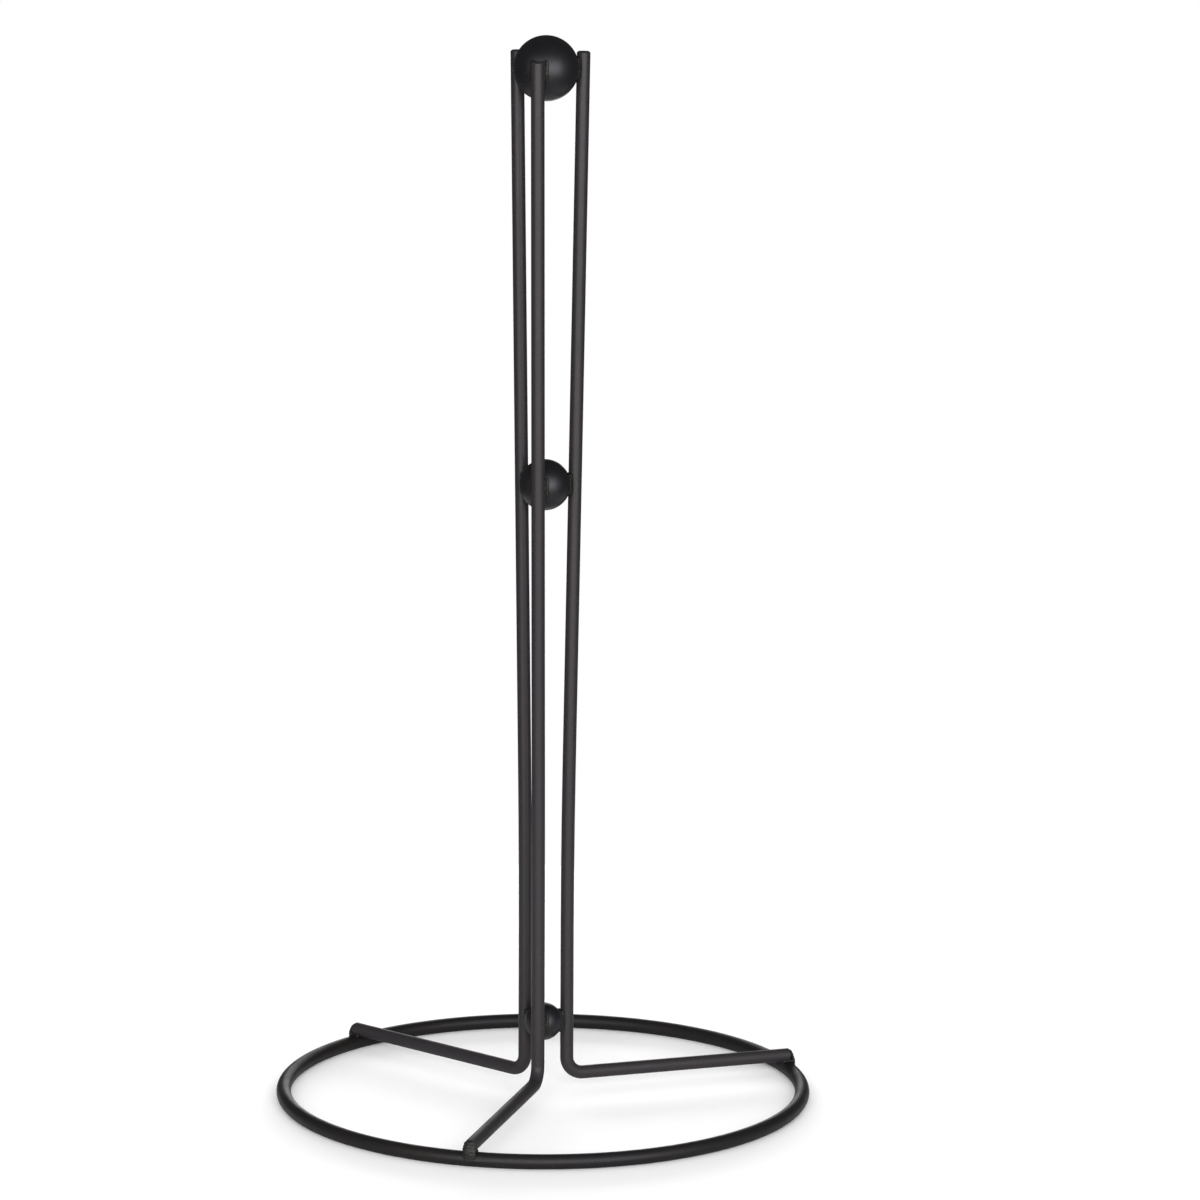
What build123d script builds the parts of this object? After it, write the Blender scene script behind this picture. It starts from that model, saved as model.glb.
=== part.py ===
"""Free-standing paper towel holder of welded wire.

A wire ring lies on the table. Three L-bent rods lie on it with their short legs, and their long arms stand
up in the middle as the stem. Three balls of falling size sit between the arms. The arms start side by side,
lean out a little below the middle ball and are splayed apart by it and the top ball. Every rod is let a
little into the ring and the balls where it is welded to them, and a bead of weld metal closes each joint.

Frame: origin on the table under the middle of the ring, +Z up, the front arm towards -Y. Millimetres.
"""
from build123d import *
from math import cos, radians, sin
import os

os.makedirs("parts", exist_ok=True)

# Wire, measured over its powder coat.
ROD_DIAMETER = 4.1
RING_WIRE_DIAMETER = 4.5

# Base.
RING_OUTER_DIAMETER = 165.0
LEG_OVERHANG = 1.0  # leg's end past the middle of the ring's wire
LEG_BEND_RADIUS = 5.2  # on the rod's centreline
FRONT_LEG_TURN = -3.0  # degrees; the front leg points a little off its arm, the other two don't
ROD_END_CHAMFER = 0.45

# Stem: the balls' diameters and the heights of their centres.
TOP_BALL_DIAMETER = 19.8
MIDDLE_BALL_DIAMETER = 15.6
BOTTOM_BALL_DIAMETER = 11.7
TOP_BALL_HEIGHT = 317.8
MIDDLE_BALL_HEIGHT = 191.6
BOTTOM_BALL_HEIGHT = 23.6
LEAN_HEIGHT = 78.0  # the arms stand upright up to here and lean out above
LEAN_RADIUS = 3000.0
MIDDLE_KINK_RADIUS = 3000.0  # of the arms' slight bend over the middle ball
FRONT_TIP_RISE = 2.9  # tips above the top ball's centre
SIDE_TIP_RISE = 4.9

# Welds.
SEAT_DEPTH = 0.25  # how far a rod sinks into the ring or a ball as it is welded
BALL_WELD_LENGTH = 5.2  # along the rod
BALL_WELD_SIDE = 0.25  # bead past the rod's flank, to each side
BALL_WELD_THICKNESS = 1.9
BALL_WELD_ROUNDING = 0.8
FOOT_WELD_DIAMETER = 4.7
FOOT_WELD_BOTTOM = 1.6  # above the table
FOOT_WELD_TOP = 7.6
FOOT_WELD_PROUD = 0.5  # bead past the ring's outer side
WELD_CHAMFER = 0.6

# Each rod: where its arm points from the middle, as an angle from +X, how far its leg is turned from that,
# and how far its tip stands above the top ball's centre.
RODS = {
    "front": (-90.0, FRONT_LEG_TURN, FRONT_TIP_RISE),
    "right": (30.0, 0.0, SIDE_TIP_RISE),
    "left": (150.0, 0.0, SIDE_TIP_RISE),
}

rod_radius = ROD_DIAMETER / 2
ring_wire_radius = RING_WIRE_DIAMETER / 2
ring_radius = RING_OUTER_DIAMETER / 2 - ring_wire_radius
foot_radius = ring_radius + LEG_OVERHANG
leg_height = RING_WIRE_DIAMETER + rod_radius - SEAT_DEPTH

BALLS = {
    "top": (TOP_BALL_DIAMETER / 2, TOP_BALL_HEIGHT),
    "middle": (MIDDLE_BALL_DIAMETER / 2, MIDDLE_BALL_HEIGHT),
    "bottom": (BOTTOM_BALL_DIAMETER / 2, BOTTOM_BALL_HEIGHT),
}


def arm_offset(ball):
    """Distance of a rod's axis from the stem's axis where it is seated in this ball."""
    ball_radius, _ = BALLS[ball]
    return ball_radius + rod_radius - SEAT_DEPTH


def tip_offset(tip_height):
    """The same at the tip, on the straight stretch through the middle and the top ball's seats."""
    slope = (arm_offset("top") - arm_offset("middle")) / (TOP_BALL_HEIGHT - MIDDLE_BALL_HEIGHT)
    return arm_offset("top") + slope * (tip_height - TOP_BALL_HEIGHT)


def make_rod(leg_turn, tip_rise):
    """One rod with its arm over +X: leg, bend, and the arm up past the three balls."""
    foot = foot_radius * Vector(cos(radians(leg_turn)), sin(radians(leg_turn)), 0)
    tip_height = TOP_BALL_HEIGHT + tip_rise
    path = FilletPolyline(
        (foot.X, foot.Y, leg_height),
        (arm_offset("bottom"), 0, leg_height),
        (arm_offset("bottom"), 0, LEAN_HEIGHT),
        (arm_offset("middle"), 0, MIDDLE_BALL_HEIGHT),
        (tip_offset(tip_height), 0, tip_height),
        radius=[LEG_BEND_RADIUS, LEAN_RADIUS, MIDDLE_KINK_RADIUS],
    )
    rod = sweep(Plane(path @ 0, z_dir=path % 0) * Circle(rod_radius), path=path)
    rims = [rod.edges().filter_by(GeomType.CIRCLE).sort_by_distance(path @ end)[0] for end in (0, 1)]
    return chamfer(rims, ROD_END_CHAMFER)


def make_whole_ring():
    """The ring on the table, before the legs are welded into its top."""
    return Pos(0, 0, ring_wire_radius) * Torus(ring_radius, ring_wire_radius)


def make_whole_ball(ball):
    """One ball, before the rods are welded into its sides."""
    ball_radius, height = BALLS[ball]
    return Pos(0, 0, height) * Sphere(ball_radius)


def make_foot_weld(leg_turn, rod):
    """Bead over the end of the leg and down the outer side of the ring, with the arm over +X."""
    middle = RING_OUTER_DIAMETER / 2 + FOOT_WELD_PROUD - FOOT_WELD_DIAMETER / 2
    bead = Cylinder(FOOT_WELD_DIAMETER / 2, FOOT_WELD_TOP - FOOT_WELD_BOTTOM)
    bead = chamfer(bead.edges().filter_by(GeomType.CIRCLE), WELD_CHAMFER)
    place = Rot(0, 0, leg_turn) * Pos(middle, 0, (FOOT_WELD_TOP + FOOT_WELD_BOTTOM) / 2)
    return place * bead - rod - make_whole_ring()


def make_ball_weld(ball, rod):
    """Bead along the seat of the rod in this ball, on both sides of the rod, with the arm over +X."""
    ball_radius, height = BALLS[ball]
    section = RectangleRounded(
        BALL_WELD_THICKNESS, ROD_DIAMETER + 2 * BALL_WELD_SIDE, BALL_WELD_ROUNDING
    )
    bead = extrude(section, BALL_WELD_LENGTH / 2, both=True)
    return Pos(ball_radius - SEAT_DEPTH / 2, 0, height) * bead - rod - make_whole_ball(ball)


rods_over_x = {name: make_rod(turn, rise) for name, (_, turn, rise) in RODS.items()}
rods = {name: Rot(0, 0, arm) * rods_over_x[name] for name, (arm, _, _) in RODS.items()}
rod_solids = list(rods.values())

nodes = {"base_ring": make_whole_ring() - rod_solids}
for name, rod in rods.items():
    nodes[f"{name}_rod"] = rod
for ball in BALLS:
    nodes[f"{ball}_ball"] = make_whole_ball(ball) - rod_solids
for name, (arm, turn, _) in RODS.items():
    to_rod = Rot(0, 0, arm)
    nodes[f"{name}_foot_weld"] = to_rod * make_foot_weld(turn, rods_over_x[name])
    for ball in BALLS:
        nodes[f"{ball}_ball_{name}_weld"] = to_rod * make_ball_weld(ball, rods_over_x[name])

for name, solid in nodes.items():
    export_step(solid, f"parts/{name}.step")
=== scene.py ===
"""Looks of the wire paper towel holder: black powder coat over welded wire, on a white studio table.

Everything is in metres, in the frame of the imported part: origin on the table under the middle of the ring,
+Z up, the front arm towards -Y. The ring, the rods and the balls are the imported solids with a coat; the
twelve weld beads are modelled here, as runs of overlapping laps, and stand for the plain ones.
"""
import math
import random

import bmesh
import bpy
from mathutils import Matrix, Vector, noise


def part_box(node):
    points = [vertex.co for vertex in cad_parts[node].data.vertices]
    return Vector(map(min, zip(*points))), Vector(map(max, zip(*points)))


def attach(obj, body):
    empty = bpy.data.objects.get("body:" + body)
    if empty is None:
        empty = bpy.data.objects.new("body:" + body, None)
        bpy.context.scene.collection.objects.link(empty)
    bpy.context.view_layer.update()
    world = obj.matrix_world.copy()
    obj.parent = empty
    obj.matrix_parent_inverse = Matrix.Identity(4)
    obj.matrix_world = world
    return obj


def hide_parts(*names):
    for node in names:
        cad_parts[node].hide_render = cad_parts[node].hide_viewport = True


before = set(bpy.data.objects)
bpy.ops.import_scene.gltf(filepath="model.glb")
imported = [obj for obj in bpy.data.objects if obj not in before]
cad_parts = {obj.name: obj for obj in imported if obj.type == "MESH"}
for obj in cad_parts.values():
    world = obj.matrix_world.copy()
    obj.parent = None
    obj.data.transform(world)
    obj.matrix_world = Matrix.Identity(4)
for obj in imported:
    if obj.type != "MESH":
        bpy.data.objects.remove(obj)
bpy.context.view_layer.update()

MM = 0.001

# Camera: angles round the stem in degrees, where it stands and the point that it is aimed at.
CAMERA_AZIMUTH = 11.78
CAMERA_ELEVATION = 10.56
CAMERA_ROLL = 0.285
CAMERA_DISTANCE = 1.640
CAMERA_LENS = 161.5  # mm, as the sensor
CAMERA_SENSOR = 36.0
CAMERA_CLIP = (0.05, 20.0)
AIM_RIGHT = 0.01689
AIM_HEIGHT = 0.15609

# Studio. A strength or radiance of 1 is white.
TABLE_HALF_SIDE = 0.3
TABLE_COLOUR = 0.9
TABLE_LIFT = 0.125  # for the camera alone, and takes the lit table just to white
WORLD_STRENGTH = 0.56
STUDIO_DARK = 0.1  # what the coat reflects of the room beside and above the backdrop
BACKDROP_SIZE = (0.24, 0.26)
BACKDROP_DISTANCE = 0.5
BACKDROP_RADIANCE = 3.6
SOFTBOX_RADIANCE = 7.5
SOFTBOX_SIZE = (1.0, 1.2)
SOFTBOX_DISTANCE = 1.75
SOFTBOX_ELEVATION = 10.0
SOFTBOX_AZIMUTHS = (-14.0, 18.0, 50.0)
SHADOW_LIGHTS = {  # azimuth, elevation, distance, size and radiance of the lights that draw the soft shadows
    "front": (14.0, 16.0, 1.75, (1.6, 0.6), 9.0),
    "behind": (192.0, 3.2, 1.5, (1.6, 0.38), 24.0),
}

# Powder coat: how large its noises are and the range of each that shows, how strong its bumps are, and the
# heights between which the rods' coat gets duller.
BLOTCH_SIZE = 28 * MM
BLOTCH_RANGE = (0.35, 0.65)
SPECK_SIZE = 1.1 * MM
SPECK_RANGE = (0.62, 0.8)
SPECK_SHARE = 0.5  # of the worn tone in a speck
RIDGE_RANGE = (0.53, 0.62)
RIDGE_SHARE = 0.7  # of the worn tone on a rubbed ridge
PATCH_SIZE = 5 * MM
PATCH_RANGE = (0.3, 0.7)
PATCH_ROUGHNESS = 0.035  # to each side of the coat's own
PEEL_SIZE = 0.9 * MM
PEEL_STRENGTH = 0.6
GRAIN_SIZE = 0.16 * MM
GRAIN_DEPTH = 0.006 * MM
GRAIN_STRENGTH = 0.5
BASE_RANGE = (14 * MM, 7 * MM)

# Each coat: two near-black tones, the tone where it is worn, its sheen, and the depth of its orange peel.
COAT_SETTINGS = {
    "rod": {
        "warm": (0.0262, 0.0226, 0.0244),
        "cool": (0.0238, 0.0222, 0.0250),
        "worn": (0.046, 0.043, 0.045),
        "roughness": 0.42,
        "specular": 0.165,
        "tint": (1.0, 0.945, 0.955),
        "peel": 0.03 * MM,
        "base_dulling": 0.16,
    },
    "ring": {
        "warm": (0.0108, 0.0096, 0.0090),
        "cool": (0.0094, 0.0088, 0.0106),
        "worn": (0.030, 0.030, 0.028),
        "roughness": 0.5,
        "specular": 0.16,
        "tint": (1.0, 0.965, 0.965),
        "peel": 0.03 * MM,
    },
    "ball": {
        "warm": (0.0068, 0.0056, 0.0074),
        "cool": (0.0062, 0.0056, 0.0084),
        "worn": (0.016, 0.016, 0.019),
        "roughness": 0.45,
        "specular": 0.28,
        "tint": (0.95, 0.95, 1.0),
        "peel": 0.03 * MM,
    },
    "weld": {
        "warm": (0.0085, 0.0085, 0.0075),
        "cool": (0.0100, 0.0110, 0.0095),
        "worn": (0.034, 0.038, 0.033),
        "roughness": 0.48,
        "specular": 0.18,
        "tint": (0.98, 1.0, 0.95),
        "peel": 0.05 * MM,
        "rubbed_ridges": True,
    },
}

# Holder.
ARMS = {"front": -90.0, "right": 30.0, "left": 150.0}  # degrees from +X
LEG_TURNS = {"front": -3.0, "right": 0.0, "left": 0.0}  # degrees from the arm
BALLS = ("top", "middle", "bottom")
ROD_RADIUS = 2.05 * MM
SEAT_DEPTH = 0.25 * MM
LEG_OVERHANG = 1.0 * MM

# Weld beads. A lap is an ellipsoid, given by its half sizes along out, side and up.
LAP_SPACING = 0.62 * MM
BEAD_GRAIN = 0.16 * MM  # of the beads' mesh
BEAD_SMOOTHING = 6  # rounds
LUMP_SIZE = 0.7 * MM
LUMP_DEPTH = 0.09 * MM
FOOT_SEED = 10
BALL_SEED = 20

# Beads at the balls: at each side of the rod a run in the crevice, and its thin toe on the ball.
BALL_RUN_LENGTH = 5.6 * MM
BALL_RUN_SIDE = 1.6 * MM  # of the run's middle from the rod's, to each side
BALL_RUN_SHAKE = 0.06 * MM
BALL_RUN_OVERLAP = 0.22 * MM  # into the rod and the ball
BALL_LAP_SIDE = 0.6 * MM
BALL_TOE_SIDE = 2.25 * MM
BALL_TOE_LAP = (0.36 * MM, 0.75 * MM)  # out and side
BALL_LAP_UP = 0.55 * MM
LAP_TAPERS = (0.94, 1.06)
END_TAPER = 0.8

# Beads at the feet: a run over the leg's end and down the ring, and short ones under the leg's flanks.
FOOT_LAPS = 7
FOOT_TOP = 0.85 * MM  # above the leg's middle
FOOT_BOTTOM = 2.45 * MM  # above the table
FOOT_START = -0.05 * MM  # past the leg's end
FOOT_REACH = 0.95 * MM  # further out, along a quarter of a sine
FOOT_REACH_RATE = 1.6  # the reach is full before the run is down
FOOT_LAP = (0.7 * MM, 1.75 * MM, 0.85 * MM)
FOOT_BELLY = 0.5 * MM  # added to the laps' half width half-way down, along a part of half a sine
FOOT_BELLY_PART = (0.15, 0.7)  # where that part starts, and its share
FOOT_SHAKE = 0.1 * MM
FOOT_TILT = 20.0  # degrees, of the first lap
FOOT_TILT_CHANGE = -25.0
FLANK_LAPS = 5
FLANK_SIDE = 1.5 * MM
FLANK_SHAKE = 0.05 * MM
FLANK_LAP = (0.5 * MM, 0.42 * MM)  # out and side
FLANK_GAP = 0.2 * MM  # the least that a lap fills between the leg and the ring
FLANK_OVERLAP = 0.15 * MM


def turned_axes(azimuth, elevation):
    """Unit vectors from the stem out to a place seen at these angles, and level to the right of it."""
    azimuth, elevation = math.radians(azimuth), math.radians(elevation)
    back = Vector(
        (
            math.sin(azimuth) * math.cos(elevation),
            -math.cos(azimuth) * math.cos(elevation),
            math.sin(elevation),
        )
    )
    right = Vector((math.cos(azimuth), math.sin(azimuth), 0))
    return back, right


def make_camera():
    """The camera at the photograph's viewing angle, turned a little about its own axis."""
    back, right = turned_axes(CAMERA_AZIMUTH, CAMERA_ELEVATION)
    data = bpy.data.cameras.new("camera")
    data.lens = CAMERA_LENS
    data.sensor_width = CAMERA_SENSOR
    data.clip_start, data.clip_end = CAMERA_CLIP
    camera = bpy.data.objects.new("camera", data)
    bpy.context.scene.collection.objects.link(camera)
    turn = (-back).to_track_quat("-Z", "Y").to_matrix().to_4x4()
    aim = right * AIM_RIGHT + Vector((0, 0, AIM_HEIGHT))
    roll = Matrix.Rotation(math.radians(CAMERA_ROLL), 4, "Z")
    camera.matrix_world = Matrix.Translation(aim + back * CAMERA_DISTANCE) @ turn @ roll
    bpy.context.scene.camera = camera


def make_softbox(name, azimuth, elevation, distance, size, radiance):
    """A softbox round the stem, aimed at its middle."""
    data = bpy.data.lights.new(name, "AREA")
    data.shape = "RECTANGLE"
    data.size, data.size_y = size
    data.energy = radiance * math.pi * data.size * data.size_y
    light = bpy.data.objects.new(name, data)
    back, _ = turned_axes(azimuth, elevation)
    light.location = back * distance + Vector((0, 0, AIM_HEIGHT))
    light.rotation_euler = (-back).to_track_quat("-Z", "Y").to_euler()
    bpy.context.scene.collection.objects.link(light)
    return light


def make_lights():
    """A row of softboxes round the camera for the sheen, and two low lights for the table's soft shadows."""
    for number, azimuth in enumerate(SOFTBOX_AZIMUTHS):
        front = make_softbox(
            f"softbox_{number}", azimuth, SOFTBOX_ELEVATION, SOFTBOX_DISTANCE, SOFTBOX_SIZE, SOFTBOX_RADIANCE
        )
        front.visible_diffuse = False
    for name, settings in SHADOW_LIGHTS.items():
        make_softbox(f"shadow_light_{name}", *settings).visible_glossy = False


def make_world():
    """Even soft light; white to the camera and through glass, and a dim room to reflections."""
    world = bpy.data.worlds.new("studio")
    world.use_nodes = True
    nodes, links = world.node_tree.nodes, world.node_tree.links
    nodes.clear()
    path = nodes.new("ShaderNodeLightPath")
    shade = None
    for strength, ray in (
        (WORLD_STRENGTH, None),
        (1.0, "Is Camera Ray"),
        (1.0, "Is Transmission Ray"),
        (STUDIO_DARK, "Is Glossy Ray"),
    ):
        background = nodes.new("ShaderNodeBackground")
        background.inputs["Color"].default_value = (1, 1, 1, 1)
        background.inputs["Strength"].default_value = strength
        if ray is None:
            shade = background.outputs[0]
            continue
        mix = nodes.new("ShaderNodeMixShader")
        links.new(path.outputs[ray], mix.inputs["Fac"])
        links.new(shade, mix.inputs[1])
        links.new(background.outputs[0], mix.inputs[2])
        shade = mix.outputs[0]
    out = nodes.new("ShaderNodeOutputWorld")
    links.new(shade, out.inputs["Surface"])
    bpy.context.scene.world = world


def stage_material(name):
    """A material of the studio with nothing but its output, and that output's surface socket."""
    material = bpy.data.materials.new(name)
    material.use_nodes = True
    nodes = material.node_tree.nodes
    nodes.clear()
    return material, nodes.new("ShaderNodeOutputMaterial").inputs["Surface"]


def make_plane(name, corners, material):
    """A flat piece of the studio."""
    mesh = bpy.data.meshes.new(name)
    mesh.from_pydata(corners, [], [tuple(range(len(corners)))])
    mesh.materials.append(material)
    plane = bpy.data.objects.new(name, mesh)
    bpy.context.scene.collection.objects.link(plane)
    return plane


def make_table():
    """A white table top that goes over into the white background."""
    material, surface = stage_material("table_white")
    nodes, links = material.node_tree.nodes, material.node_tree.links
    paint = nodes.new("ShaderNodeBsdfDiffuse")
    paint.inputs["Color"].default_value = (TABLE_COLOUR, TABLE_COLOUR, TABLE_COLOUR, 1)
    lift = nodes.new("ShaderNodeEmission")
    lift.inputs["Color"].default_value = (TABLE_LIFT, TABLE_LIFT, TABLE_LIFT, 1)
    path = nodes.new("ShaderNodeLightPath")
    links.new(path.outputs["Is Camera Ray"], lift.inputs["Strength"])
    both = nodes.new("ShaderNodeAddShader")
    links.new(paint.outputs[0], both.inputs[0])
    links.new(lift.outputs[0], both.inputs[1])
    links.new(both.outputs[0], surface)
    side = TABLE_HALF_SIDE
    make_plane("table", [(-side, -side, 0), (side, -side, 0), (side, side, 0), (-side, side, 0)], material)


def make_backdrop():
    """A bright upright card behind the holder, seen by reflections alone."""
    material, surface = stage_material("backdrop")
    paint = material.node_tree.nodes.new("ShaderNodeEmission")
    paint.inputs["Strength"].default_value = BACKDROP_RADIANCE
    material.node_tree.links.new(paint.outputs[0], surface)
    away, right = turned_axes(CAMERA_AZIMUTH + 180, 0)
    half, height = right * BACKDROP_SIZE[0] / 2, Vector((0, 0, BACKDROP_SIZE[1]))
    foot = away * BACKDROP_DISTANCE
    card = make_plane(
        "backdrop", [foot - half, foot + half, foot + half + height, foot - half + height], material
    )
    for ray in ("camera", "diffuse", "transmission", "shadow", "volume_scatter"):
        setattr(card, f"visible_{ray}", False)


def noise_texture(nodes, links, place, size, detail=2.0):
    """Noise over the object's own coordinates, with blotches of about this size."""
    texture = nodes.new("ShaderNodeTexNoise")
    texture.inputs["Scale"].default_value = 1 / size
    texture.inputs["Detail"].default_value = detail
    links.new(place, texture.inputs["Vector"])
    return texture.outputs["Fac"]


def map_range(nodes, links, value, source, target):
    """Take a value from one range to another, and hold it inside that."""
    node = nodes.new("ShaderNodeMapRange")
    links.new(value, node.inputs["Value"])
    for socket, number in zip(("From Min", "From Max", "To Min", "To Max"), (*source, *target)):
        node.inputs[socket].default_value = number
    return node.outputs["Result"]


def mix_colour(nodes, links, factor, first, second):
    """Mix two colours, each a colour or a socket."""
    node = nodes.new("ShaderNodeMix")
    node.data_type = "RGBA"
    links.new(factor, node.inputs["Factor"])
    for socket, colour in (("A", first), ("B", second)):
        inputs = [i for i in node.inputs if i.name == socket and i.type == "RGBA"]
        if isinstance(colour, tuple):
            inputs[0].default_value = (*colour, 1)
        else:
            links.new(colour, inputs[0])
    return [o for o in node.outputs if o.type == "RGBA"][0]


def add_bump(nodes, links, height, strength, depth, below=None):
    """A bump, over another where one is given."""
    bump = nodes.new("ShaderNodeBump")
    bump.inputs["Strength"].default_value = strength
    bump.inputs["Distance"].default_value = depth
    links.new(height, bump.inputs["Height"])
    if below is not None:
        links.new(below, bump.inputs["Normal"])
    return bump.outputs["Normal"]


def powder_coat(
    name, warm, cool, worn, roughness, specular, tint, peel, rubbed_ridges=False, base_dulling=0.0
):
    """Satin black powder coat: two near-black tones in soft blotches, specks, orange peel and fine grain."""
    material = bpy.data.materials.new(name)
    material.use_nodes = True
    nodes, links = material.node_tree.nodes, material.node_tree.links
    shader = nodes["Principled BSDF"]
    place = nodes.new("ShaderNodeTexCoord").outputs["Object"]

    blotches = noise_texture(nodes, links, place, BLOTCH_SIZE)
    tone = mix_colour(nodes, links, map_range(nodes, links, blotches, BLOTCH_RANGE, (0, 1)), warm, cool)
    specks = noise_texture(nodes, links, place, SPECK_SIZE, detail=3.0)
    speck_share = map_range(nodes, links, specks, SPECK_RANGE, (0, SPECK_SHARE))
    tone = mix_colour(nodes, links, speck_share, tone, worn)
    if rubbed_ridges:
        ridges = nodes.new("ShaderNodeNewGeometry").outputs["Pointiness"]
        ridge_share = map_range(nodes, links, ridges, RIDGE_RANGE, (0, RIDGE_SHARE))
        tone = mix_colour(nodes, links, ridge_share, tone, worn)
    links.new(tone, shader.inputs["Base Color"])

    patches = noise_texture(nodes, links, place, PATCH_SIZE)
    roughnesses = (roughness - PATCH_ROUGHNESS, roughness + PATCH_ROUGHNESS)
    dullness = map_range(nodes, links, patches, PATCH_RANGE, roughnesses)
    if base_dulling:
        axes = nodes.new("ShaderNodeSeparateXYZ")
        links.new(place, axes.inputs[0])
        at_base = map_range(nodes, links, axes.outputs["Z"], BASE_RANGE, (0, base_dulling))
        both = nodes.new("ShaderNodeMath")
        links.new(dullness, both.inputs[0])
        links.new(at_base, both.inputs[1])
        dullness = both.outputs[0]
    links.new(dullness, shader.inputs["Roughness"])
    shader.inputs["Specular IOR Level"].default_value = specular
    shader.inputs["Specular Tint"].default_value = (*tint, 1)

    orange_peel = noise_texture(nodes, links, place, PEEL_SIZE, detail=1.0)
    grain = noise_texture(nodes, links, place, GRAIN_SIZE, detail=1.0)
    relief = add_bump(nodes, links, orange_peel, PEEL_STRENGTH, peel)
    relief = add_bump(nodes, links, grain, GRAIN_STRENGTH, GRAIN_DEPTH, below=relief)
    links.new(relief, shader.inputs["Normal"])
    return material


def coat_packed_nodes():
    """Give the ring, the rods and the balls their coats."""
    for name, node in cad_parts.items():
        kind = name.rsplit("_", 1)[-1]
        if kind == "weld":
            continue
        node.data.materials.clear()
        node.data.materials.append(COATS[kind])


def make_bead(name, laps, seed):
    """A weld bead: laps, each (centre, half sizes along out, side and up, turn), melted into one skin."""
    shape = bmesh.new()
    for centre, sizes, turn in laps:
        place = Matrix.Translation(centre) @ turn @ Matrix.Diagonal((*sizes, 1))
        bmesh.ops.create_icosphere(shape, subdivisions=3, radius=1, matrix=place)
    loose = bpy.data.meshes.new(name)
    shape.to_mesh(loose)
    shape.free()
    bead = bpy.data.objects.new(name, loose)
    bpy.context.scene.collection.objects.link(bead)
    remesh = bead.modifiers.new("melt", "REMESH")
    remesh.mode = "VOXEL"
    remesh.voxel_size = BEAD_GRAIN
    smooth = bead.modifiers.new("flow", "SMOOTH")
    smooth.iterations = BEAD_SMOOTHING
    melted = bpy.data.meshes.new_from_object(bead.evaluated_get(bpy.context.evaluated_depsgraph_get()))
    bead.modifiers.clear()
    bead.data = melted
    bpy.data.meshes.remove(loose)
    melted.name = name
    for vertex in melted.vertices:
        lump = noise.noise(vertex.co / LUMP_SIZE + Vector((seed, 0, 0)))
        vertex.co += vertex.normal * lump * LUMP_DEPTH
    for face in melted.polygons:
        face.use_smooth = True
    melted.materials.clear()
    melted.materials.append(COATS["weld"])
    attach(bead, "root")
    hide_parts(name)


def arm_frame(angle):
    """Turns out, side and up of an arm into the holder's frame."""
    return Matrix.Rotation(math.radians(angle), 4, "Z")


def ball_sizes(ball):
    """A ball's radius and the height of its middle."""
    low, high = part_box(f"{ball}_ball")
    return (high[2] - low[2]) / 2, (high[2] + low[2]) / 2


def arm_lean():
    """Slope of the arms' stretch between the middle and the top ball."""
    (top_radius, top_height), (middle_radius, middle_height) = ball_sizes("top"), ball_sizes("middle")
    return (top_radius - middle_radius) / (top_height - middle_height)


def make_ball_weld(ball, arm, seed):
    """A bead along the rod's seat in the ball: at each side of the rod a run, and its toe on the ball."""
    random.seed(seed)
    radius, height = ball_sizes(ball)
    lean = 0 if ball == "bottom" else arm_lean()
    turn = arm_frame(ARMS[arm])
    count = round(BALL_RUN_LENGTH / LAP_SPACING)
    laps = []
    for side in (-1, 1):
        for number in range(count + 1):
            up = (number / count - 0.5) * BALL_RUN_LENGTH
            taper = END_TAPER if number in (0, count) else random.uniform(*LAP_TAPERS)

            across = side * BALL_RUN_SIDE + random.uniform(-BALL_RUN_SHAKE, BALL_RUN_SHAKE)
            ball_skin = math.sqrt(radius**2 - across**2 - up**2)
            rod_skin = radius + ROD_RADIUS - SEAT_DEPTH + lean * up - math.sqrt(ROD_RADIUS**2 - across**2)
            half = (rod_skin - ball_skin) / 2 + BALL_RUN_OVERLAP
            centre = Vector(((rod_skin + ball_skin) / 2, across, height + up))
            laps.append((turn @ centre, (half, BALL_LAP_SIDE * taper, BALL_LAP_UP * taper), turn))

            across = side * BALL_TOE_SIDE
            ball_skin = math.sqrt(radius**2 - across**2 - up**2)
            centre = Vector((ball_skin, across, height + up))
            along_skin = turn @ Matrix.Rotation(math.asin(across / radius), 4, "Z")
            toe_out, toe_side = BALL_TOE_LAP
            laps.append((turn @ centre, (toe_out, toe_side * taper, BALL_LAP_UP * taper), along_skin))
    make_bead(f"{ball}_ball_{arm}_weld", laps, seed)


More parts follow.
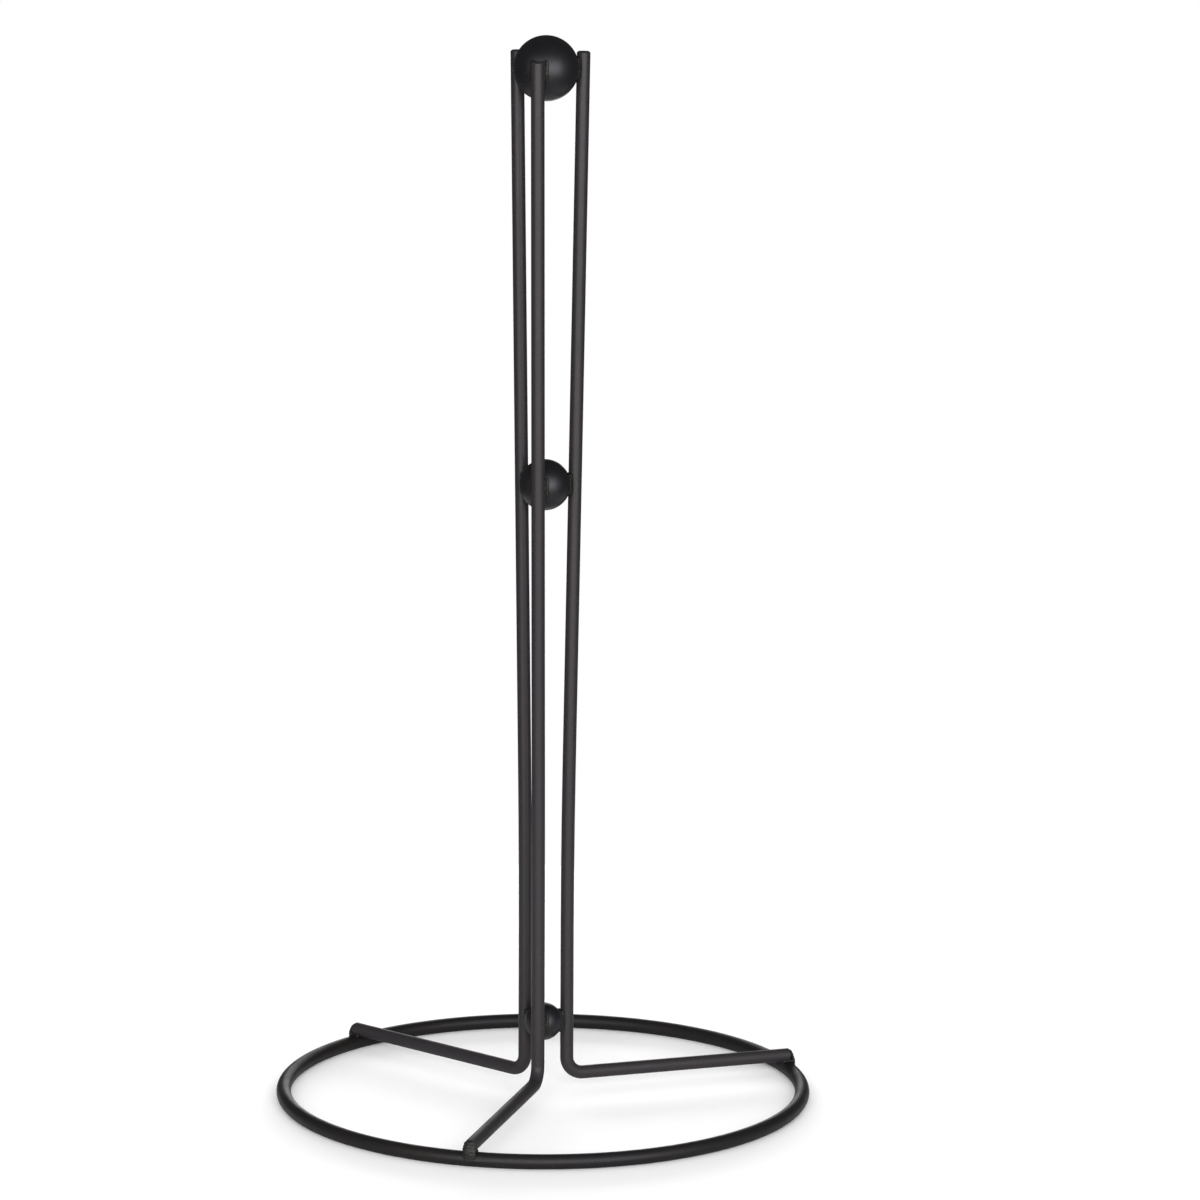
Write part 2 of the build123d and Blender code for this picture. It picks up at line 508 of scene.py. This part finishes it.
def make_foot_weld(arm, seed):
    """A run over the end of the leg and down the ring's outer side, and short ones under the leg's flanks."""
    random.seed(seed)
    ring_low, ring_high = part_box("base_ring")
    wire = (ring_high[2] - ring_low[2]) / 2
    ring_middle = (ring_high[0] - ring_low[0]) / 2 - wire
    leg_height = 2 * wire + ROD_RADIUS - SEAT_DEPTH
    leg_end = ring_middle + LEG_OVERHANG
    turn = arm_frame(ARMS[arm] + LEG_TURNS[arm])
    laps = []

    top = leg_height + FOOT_TOP
    lap_out, lap_side, lap_up = FOOT_LAP
    belly_start, belly_share = FOOT_BELLY_PART
    for number in range(FOOT_LAPS):
        down = number / (FOOT_LAPS - 1)
        out = leg_end + FOOT_START + FOOT_REACH * math.sin(math.pi / 2 * min(1, FOOT_REACH_RATE * down))
        half_width = lap_side + FOOT_BELLY * math.sin(math.pi * (belly_start + belly_share * down))
        across = random.uniform(-FOOT_SHAKE, FOOT_SHAKE)
        centre = Vector((out, across, top - down * (top - FOOT_BOTTOM)))
        tilt = Matrix.Rotation(math.radians(FOOT_TILT + FOOT_TILT_CHANGE * down), 4, "Y")
        laps.append((turn @ centre, (lap_out, half_width, lap_up), turn @ tilt))

    for side in (-1, 1):
        for number in range(FLANK_LAPS):
            out = ring_middle + (number - (FLANK_LAPS - 1) / 2) * LAP_SPACING
            across = side * FLANK_SIDE
            ring_skin = wire + math.sqrt(wire**2 - (out - ring_middle) ** 2)
            leg_skin = leg_height - math.sqrt(ROD_RADIUS**2 - across**2)
            half = max(leg_skin - ring_skin, FLANK_GAP) / 2 + FLANK_OVERLAP
            across += random.uniform(-FLANK_SHAKE, FLANK_SHAKE)
            centre = Vector((out, across, (leg_skin + ring_skin) / 2))
            laps.append((turn @ centre, (*FLANK_LAP, half), turn))
    make_bead(f"{arm}_foot_weld", laps, seed)


COATS = {kind: powder_coat(f"{kind}_coat", **settings) for kind, settings in COAT_SETTINGS.items()}

make_camera()
make_world()
make_table()
make_backdrop()
make_lights()
coat_packed_nodes()
for number, arm in enumerate(ARMS):
    make_foot_weld(arm, seed=FOOT_SEED + number)
    for ball_number, ball in enumerate(BALLS):
        make_ball_weld(ball, arm, seed=BALL_SEED + len(BALLS) * number + ball_number)

bpy.context.scene.view_settings.view_transform = "Standard"
